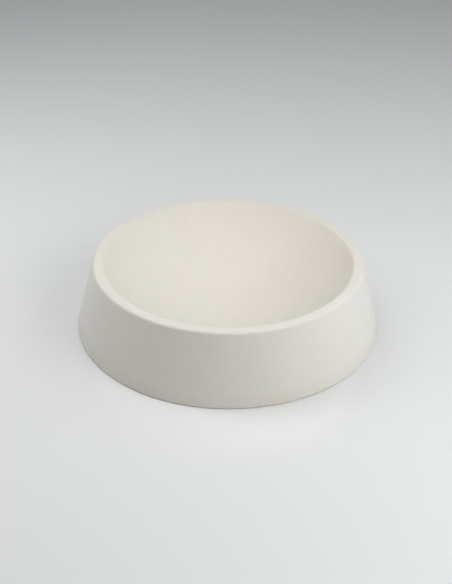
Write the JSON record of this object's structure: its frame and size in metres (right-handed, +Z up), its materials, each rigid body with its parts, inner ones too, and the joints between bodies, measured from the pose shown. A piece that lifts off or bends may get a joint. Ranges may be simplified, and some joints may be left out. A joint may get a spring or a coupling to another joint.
{
  "type": "plaster slump mold",
  "caption": "Round solid plaster slump mold: a low cone, wider at its foot, with a smooth concave dish in the top and a narrow flat rim for trimming a clay bowl or plate.",
  "frame": {"origin": "centre of the flat underside, where the mold stands", "axes": "+Z up through the middle of the dish, the axis the mold is round about; X and Y are any two level directions"},
  "size_m": [0.3072, 0.3072, 0.071],
  "materials": {
    "plaster": "bare dry pottery plaster, chalky matt and off-white"
  },
  "bodies": {
    "root": {"mold_body": "plaster"}
  },
  "joints": []
}
